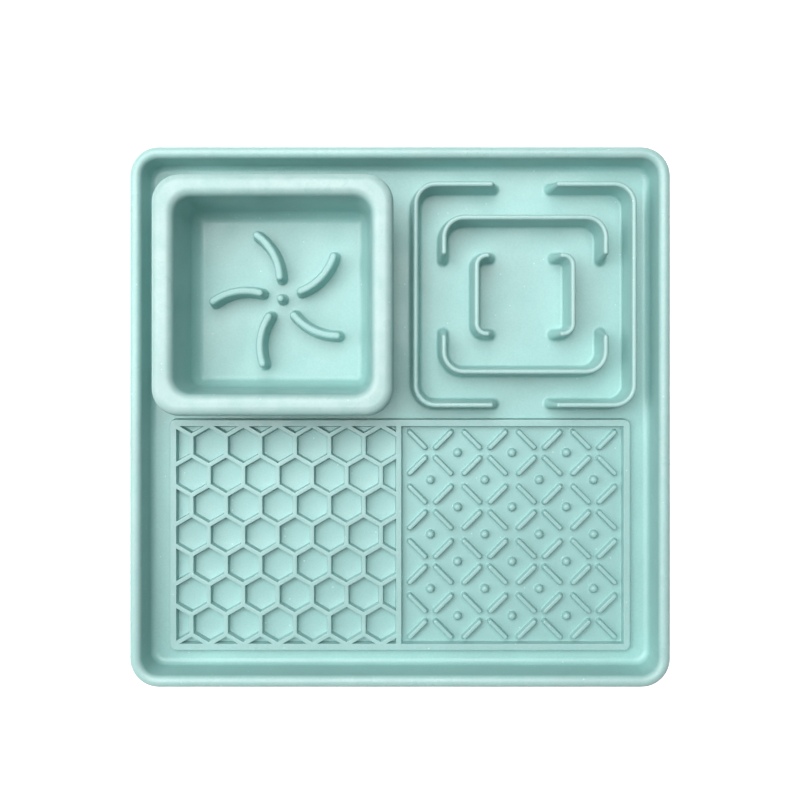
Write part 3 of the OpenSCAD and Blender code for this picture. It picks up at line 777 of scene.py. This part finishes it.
class FEEDING_MAT_OT_bowl(Operator):
    """Model the lift-out bowl with its rolled rim and the swirl on its floor"""

    bl_idname = "feeding_mat.bowl"
    bl_label = "Bowl"

    def execute(self, context):
        mat = settings(context)
        bowl = mat.bowl
        low, high = BOWL_BOX
        middle = (low + high) / 2
        rim_x = high.x - middle.x
        mouth_x = rim_x - bowl.rim_w
        top_z, base_z = high.z, low.z
        floor_z = base_z + bowl.floor_t
        under_z = top_z - bowl.rim_d
        bm = bmesh.new()

        # Outside of the rolled rim, round its own corner centres
        rim_core = rim_x - bowl.rim_corner_r
        rim = section(
            [
                (bowl.rim_corner_r - bowl.rim_edge_r - STRIP, top_z, 0),
                (bowl.rim_corner_r, top_z, bowl.rim_edge_r),
                (bowl.rim_corner_r, under_z, bowl.rim_under_r),
                (bowl.rim_corner_r - bowl.rim_under_r - STRIP, under_z, 0),
            ]
        )
        pour(bm, sweep_round(rim, rim_core, rim_core), at(middle.x, middle.y))

        # Inside, from the mouth down the wall to the floor
        core = mouth_x - bowl.mouth_corner_r
        wall_foot_x = bowl.mouth_corner_r - bowl.lean
        crease_x = wall_foot_x - bowl.foot_w
        # The slope rises at 45 degrees. The floor ends before the centre of its swept corners
        floor_x = max(0, crease_x - bowl.crease_r * tan(pi / 8) - FINE_STRIP)
        cavity = section(
            [
                (bowl.mouth_corner_r + bowl.mouth_r + STRIP, top_z, 0),
                (bowl.mouth_corner_r, top_z, bowl.mouth_r),
                (wall_foot_x, floor_z + bowl.foot_w, bowl.knee_r),
                (crease_x, floor_z, bowl.crease_r),
                (floor_x, floor_z, 0),
            ]
        )
        pour(bm, sweep_round(cavity, core, core), at(middle.x, middle.y))

        # Outside, from under the rim down the wall to the base
        neck_x = bowl.mouth_corner_r + bowl.wall_t
        base_x = wall_foot_x + bowl.wall_t
        shell = section(
            [
                (neck_x + bowl.base_edge_r + STRIP, under_z, 0),
                (neck_x, under_z, bowl.base_edge_r),
                (base_x, base_z, bowl.base_edge_r),
                (base_x - bowl.base_edge_r - STRIP, base_z, 0),
            ]
        )
        pour(bm, sweep_round(shell, core, core), at(middle.x, middle.y))

        # Swirl: each rib is bent about a centre to the left of the line between its ends
        inner = bowl.swirl_inner_r * Vector((cos(bowl.swirl_start), sin(bowl.swirl_start), 0))
        end = bowl.swirl_start + bowl.swirl_turn
        chord = bowl.swirl_outer_r * Vector((cos(end), sin(end), 0)) - inner
        half_angle = asin(chord.length / 2 / bowl.swirl_bend_r)
        top_r = bowl.swirl_round * bowl.swirl_top_w
        sizes = (bowl.swirl_foot_w, bowl.swirl_top_w, bowl.swirl_h, bowl.swirl_foot_r, top_r)
        rib = rib_section(*sizes)
        sweep_rib(rib, [(0, bowl.swirl_bend_r, 2 * half_angle)], bowl.swirl_end_slope)
        # The rib heads along +Y; its chord is turned to the left of that by half its bend
        heading = chord.xy.angle_signed(Vector((0, 1))) - half_angle
        start = at(inner.x, inner.y, 0, heading)
        centre = at(middle.x + bowl.swirl_x, middle.y, floor_z)
        turn = 2 * pi / bowl.swirl_count
        pour(bm, rib, *[centre @ at(0, 0, turn=i * turn) @ start for i in range(bowl.swirl_count)])
        pour(bm, peg(*sizes), centre)

        for level in (top_z, under_z, floor_z, base_z):
            fill_level(bm, level)
        finish = mat.finish
        # The bowl's rim gets a highlight painted paler
        skin = highlighted_skin(finish.bowl_painted_highlight, top_z, finish.bowl_highlight_fade_h)
        # Its colour is painted darker, as shade
        material = silicone("bowl_silicone", finish.bowl_shaded_colour, skin)
        finish_piece(bm, "rimmed_bowl", material, "bowl", "bowl_silicone", "bowl")
        return {"FINISHED"}


class FEEDING_MAT_OT_lick_plate(Operator):
    """Model the lift-out lick plate with its honeycomb and its bar crosses"""

    bl_idname = "feeding_mat.lick_plate"
    bl_label = "Lick plate"

    def execute(self, context):
        mat = settings(context)
        plate = mat.plate
        low, high = PLATE_BOX
        middle = (low + high) / 2
        half = high - middle
        top_z = high.z
        pad_z = top_z - plate.pad_depth
        pad_d = 2 * (half.y - plate.frame_w)
        cells_w = half.x - plate.frame_w - plate.divider_w / 2 + plate.divider_x
        crosses_w = half.x - plate.frame_w - plate.divider_w / 2 - plate.divider_x
        cells_x = low.x + plate.frame_w + cells_w / 2
        crosses_x = high.x - plate.frame_w - crosses_w / 2
        bm = bmesh.new()

        edge = section(
            [
                (plate.corner_r - plate.edge_r - STRIP, top_z, 0),
                (plate.corner_r, top_z, plate.edge_r),
                (plate.corner_r, low.z, plate.base_edge_r),
                (plate.corner_r - plate.edge_r - STRIP, low.z, 0),
            ]
        )
        sweep_round(edge, half.x - plate.corner_r, half.y - plate.corner_r)
        pour(bm, edge, at(middle.x, middle.y))
        pour(bm, self.honeycomb(plate, cells_w, pad_d), at(cells_x, middle.y, top_z))
        pour(bm, self.cross_pad(plate, crosses_w, pad_d), at(crosses_x, middle.y, top_z))
        self.crosses(bm, plate, at(crosses_x, middle.y, pad_z))
        for level in (top_z, pad_z, low.z):
            fill_level(bm, level)
        finish = mat.finish
        # The plate's tops get a faint highlight painted paler
        skin = highlighted_skin(finish.plate_painted_highlight, top_z, finish.plate_highlight_fade_h)
        # Its colour is painted darker, as shade
        material = silicone("plate_silicone", finish.plate_shaded_colour, skin)
        finish_piece(bm, "textured_plate", material, "lick_plate", "plate_silicone", "lick_plate")
        return {"FINISHED"}

    def spread(self, plate):
        """How far the top of a recess lies outside the middle of its leaning walls."""
        return plate.pad_edge_r + plate.pad_draft / 2

    def honeycomb(self, plate, pad_w, pad_d):
        """Honeycomb cells cut off at the pad's edges. The middle row starts with a whole cell."""
        part = bmesh.new()
        pitch = plate.cell_pitch
        spread = self.spread(plate)
        row_pitch = pitch * cos(pi / 6)
        flat_w = pitch - plate.cell_wall_w
        corner_r = (flat_w / 2 + spread) / cos(pi / 6)
        first_x = (flat_w - pad_w) / 2
        rows = int(pad_d / row_pitch / 2) + 1
        for row in range(-rows, rows + 1):
            x = first_x - (pitch / 2 if row % 2 else 0)
            while x < (pad_w + pitch) / 2:
                bmesh.ops.create_circle(
                    part, cap_ends=True, segments=6, radius=corner_r, matrix=at(x, row * row_pitch)
                )
                x += pitch
        for way_x, way_y in ((1, 0), (-1, 0), (0, 1), (0, -1)):
            edge = Vector((way_x * (pad_w / 2 + spread), way_y * (pad_d / 2 + spread), 0))
            bmesh.ops.bisect_plane(
                part, geom=part.verts[:] + part.edges[:] + part.faces[:], dist=WELD, plane_co=edge,
                plane_no=(way_x, way_y, 0), clear_outer=True,
            )
        # The cut leaves some edges that are too short to inset
        bmesh.ops.remove_doubles(part, verts=part.verts, dist=plate.cell_wall_w / 3)
        steps = recess_steps(plate.pad_depth, plate.pad_edge_r, plate.pad_draft, plate.cell_foot_r)
        for face in part.faces[:]:
            if face.normal.z < 0:
                face.normal_flip()
            recess(part, face, steps)
        return part

    def cross_pad(self, plate, pad_w, pad_d):
        """The sunk pad under the crosses, with its floor left open for them."""
        part = bmesh.new()
        spread = self.spread(plate)
        grown = Matrix.Diagonal((pad_w + 2 * spread, pad_d + 2 * spread, 1, 1))
        bmesh.ops.create_grid(part, x_segments=1, y_segments=1, size=0.5, matrix=grown)
        floor = part.faces[:][0]
        steps = recess_steps(plate.pad_depth, plate.pad_edge_r, plate.pad_draft, plate.cross_foot_r)
        recess(part, floor, steps)
        bmesh.ops.inset_individual(part, faces=[floor], thickness=FINE_STRIP, use_even_offset=True)
        bmesh.ops.delete(part, geom=[floor], context="FACES")
        return part

    def crosses(self, bm, plate, pad):
        """Crosses of four bars that point at their middle, and a round dot between each two of them."""
        bar_top_r = plate.bar_round * plate.bar_top_w
        bar = rib_section(plate.bar_w, plate.bar_top_w, plate.bar_h, plate.bar_foot_r, bar_top_r)
        run = plate.bar_l - plate.bar_w
        sweep_rib(bar, [(run, 0, 0)], plate.bar_end_slope)
        lying = at(plate.bar_offset, plate.bar_offset, turn=-pi / 4) @ at(0, -run / 2)
        pitch, last = plate.cross_pitch, plate.cross_count - 1
        bars, dots = [], []
        for i in range(plate.cross_count):
            for j in range(plate.cross_count):
                x, y = (i - last / 2) * pitch, (j - last / 2) * pitch
                bars += [pad @ at(x, y, turn=quarter * pi / 2) @ lying for quarter in range(4)]
                if i < last:
                    dots.append(pad @ at(x + pitch / 2, y))
                if j < last:
                    dots.append(pad @ at(x, y + pitch / 2))
        pour(bm, bar, *bars)
        dot_top_d = plate.dot_taper * plate.dot_d
        dot = peg(plate.dot_d, dot_top_d, plate.dot_h, plate.dot_foot_r, dot_top_d / 2)
        pour(bm, dot, *dots)


# Radius of the bend in a cup's hollow for each unit of the cup's radius
HOLLOW_BEND = 1.6


class FEEDING_MAT_OT_suction_cups(Operator):
    """Model the push-in suction cups"""

    bl_idname = "feeding_mat.suction_cups"
    bl_label = "Suction cups"

    def execute(self, context):
        mat = settings(context)
        cup = mat.cup
        material = silicone("cup_silicone", mat.finish.cup_colour, CLEAN_SKIN)
        for node in CUP_NODES:
            low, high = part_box(node)
            middle = (low + high) / 2
            lip_r = high.x - middle.x
            button_z = high.z - cup.button_t
            profile = section(
                [
                    (0, cup.hollow_h, 0),
                    (cup.hollow_flat * lip_r, cup.hollow_h, HOLLOW_BEND * lip_r),
                    (lip_r - cup.lip_w, 0, 0),
                    (lip_r, 0, cup.lip_under_r),
                    (lip_r, cup.lip_t, cup.lip_edge_r),
                    (cup.shoulder_d / 2, cup.cup_h, cup.shoulder_r),
                    (cup.neck_d / 2, cup.cup_h, 0),
                    (cup.neck_d / 2, button_z, 0),
                    (cup.button_d / 2, button_z, cup.button_under_r),
                    (cup.button_d / 2, high.z, cup.button_edge_r),
                    (0, high.z, 0),
                ]
            )
            bm = bmesh.new()
            pour(bm, turn_full(profile), at(middle.x, middle.y))
            finish_piece(bm, "soft_" + node, material, "mat", "cup_silicone", node)
        return {"FINISHED"}


# Stage


def is_seen(nodes, links):
    """One where a ray comes straight from the camera, or from a glossy or clear surface."""
    path = nodes.new("ShaderNodeLightPath")
    total = path.outputs["Is Camera Ray"]
    for name in ("Is Glossy Ray", "Is Transmission Ray"):
        either = nodes.new("ShaderNodeMath")
        either.operation = "MAXIMUM"
        links.new(total, either.inputs[0])
        links.new(path.outputs[name], either.inputs[1])
        total = either.outputs["Value"]
    return total


WHITE = (1, 1, 1, 1)
# Half width, colour and roughness of the floor
FLOOR_HALF = 6
FLOOR_COLOUR = (0.82, 0.82, 0.82, 1)
FLOOR_ROUGHNESS = 0.9
# Glow of the floor near the object and far from it, and the distances between which it changes
FLOOR_GLOW = {"From Min": 0.4, "From Max": 2.5, "To Min": 0.7, "To Max": 1}
# Places and sizes of the lights, and the width in millimetres of the camera's sensor
KEY_PLACE = Vector((-0.22, 0.40, 1.22))
KEY_SIZE = 1.2
SIDE_PLACE = Vector((-1.0, 0, 0.9))
SIDE_SIZE = 0.8
SENSOR_W = 36


class FEEDING_MAT_OT_stage(Operator):
    """Set the floor, the lights and the camera"""

    bl_idname = "feeding_mat.stage"
    bl_label = "Stage"

    def execute(self, context):
        mat = settings(context)
        stage = mat.stage
        self.floor()
        self.world(stage)
        self.lights(stage)
        self.camera(stage, TRAY_BOX[1].z - mat.tray.rim_h)
        context.scene.view_settings.view_transform = "Standard"
        return {"FINISHED"}

    def floor(self):
        bm = bmesh.new()
        bmesh.ops.create_grid(bm, x_segments=1, y_segments=1, size=FLOOR_HALF)
        mesh = bpy.data.meshes.new("studio_floor")
        bm.to_mesh(mesh)
        bm.free()
        material = bpy.data.materials.new("white_floor")
        material.use_nodes = True
        nodes, links = material.node_tree.nodes, material.node_tree.links
        shader = nodes["Principled BSDF"]
        shader.inputs["Base Color"].default_value = FLOOR_COLOUR
        shader.inputs["Roughness"].default_value = FLOOR_ROUGHNESS
        shader.inputs["Emission Color"].default_value = WHITE
        # The lamps light the floor round the object; further out its own glow takes over
        distance = nodes.new("ShaderNodeVectorMath")
        distance.operation = "LENGTH"
        links.new(nodes.new("ShaderNodeTexCoord").outputs["Object"], distance.inputs["Vector"])
        glow = nodes.new("ShaderNodeMapRange")
        for name, value in FLOOR_GLOW.items():
            glow.inputs[name].default_value = value
        links.new(distance.outputs["Value"], glow.inputs["Value"])
        seen = nodes.new("ShaderNodeMath")
        seen.operation = "MULTIPLY"
        links.new(is_seen(nodes, links), seen.inputs[0])
        links.new(glow.outputs["Result"], seen.inputs[1])
        links.new(seen.outputs["Value"], shader.inputs["Emission Strength"])
        mesh.materials.append(material)
        floor = bpy.data.objects.new("studio_floor", mesh)
        bpy.context.scene.collection.objects.link(floor)

    def world(self, stage):
        world = bpy.data.worlds.new("studio_sky")
        bpy.context.scene.world = world
        world.use_nodes = True
        nodes, links = world.node_tree.nodes, world.node_tree.links
        strength = nodes.new("ShaderNodeMix")
        links.new(is_seen(nodes, links), strength.inputs["Factor"])
        strength.inputs["A"].default_value = stage.fill_power
        strength.inputs["B"].default_value = 1
        background = nodes["Background"]
        background.inputs["Color"].default_value = WHITE
        links.new(strength.outputs["Result"], background.inputs["Strength"])

    def lights(self, stage):
        self.area("key_light", KEY_PLACE, KEY_SIZE, stage.key_power)
        self.area("side_light", SIDE_PLACE, SIDE_SIZE, stage.side_power)

    def area(self, name, place, size, power):
        lamp = bpy.data.lights.new(name, "AREA")
        lamp.shape = "SQUARE"
        lamp.size = size
        lamp.energy = power
        light = bpy.data.objects.new(name, lamp)
        light.location = place
        light.rotation_euler = (-place).to_track_quat("-Z", "Y").to_euler()
        bpy.context.scene.collection.objects.link(light)

    def camera(self, stage, floor_z):
        data = bpy.data.cameras.new("photo_camera")
        data.sensor_width = SENSOR_W
        data.lens = stage.lens
        data.shift_y = stage.shift_y
        data.clip_start = 10 * MM
        camera = bpy.data.objects.new("photo_camera", data)
        camera.location = (0, stage.camera_y, floor_z + stage.camera_height)
        bpy.context.scene.collection.objects.link(camera)
        bpy.context.scene.camera = camera


class FEEDING_MAT_PT_panel(Panel):
    """The feeding mat's pieces"""

    bl_idname = "FEEDING_MAT_PT_panel"
    bl_label = "Feeding Mat"
    bl_space_type = "VIEW_3D"
    bl_region_type = "UI"
    bl_category = "Feeding Mat"

    def draw(self, context):
        for piece in PIECES:
            self.layout.operator(piece.bl_idname)
        for group in ("tray", "maze", "bowl", "plate", "cup", "finish", "stage"):
            box = self.layout.box()
            box.label(text=group.capitalize())
            sizes = getattr(settings(context), group)
            for name in sizes.__annotations__:
                box.prop(sizes, name)


PIECES = (
    FEEDING_MAT_OT_tray,
    FEEDING_MAT_OT_bowl,
    FEEDING_MAT_OT_lick_plate,
    FEEDING_MAT_OT_suction_cups,
    FEEDING_MAT_OT_stage,
)
GROUPS = (TraySizes, MazeSizes, BowlSizes, PlateSizes, CupSizes, Finish, StageSettings, FeedingMat)
CLASSES = GROUPS + PIECES + (FEEDING_MAT_PT_panel,)


def register():
    for cls in CLASSES:
        bpy.utils.register_class(cls)
    bpy.types.Scene.feeding_mat = PointerProperty(type=FeedingMat)


def unregister():
    del bpy.types.Scene.feeding_mat
    for cls in reversed(CLASSES):
        bpy.utils.unregister_class(cls)


def main():
    register()
    bpy.ops.feeding_mat.tray()
    bpy.ops.feeding_mat.bowl()
    bpy.ops.feeding_mat.lick_plate()
    bpy.ops.feeding_mat.suction_cups()
    bpy.ops.feeding_mat.stage()


if __name__ == "__main__":
    main()
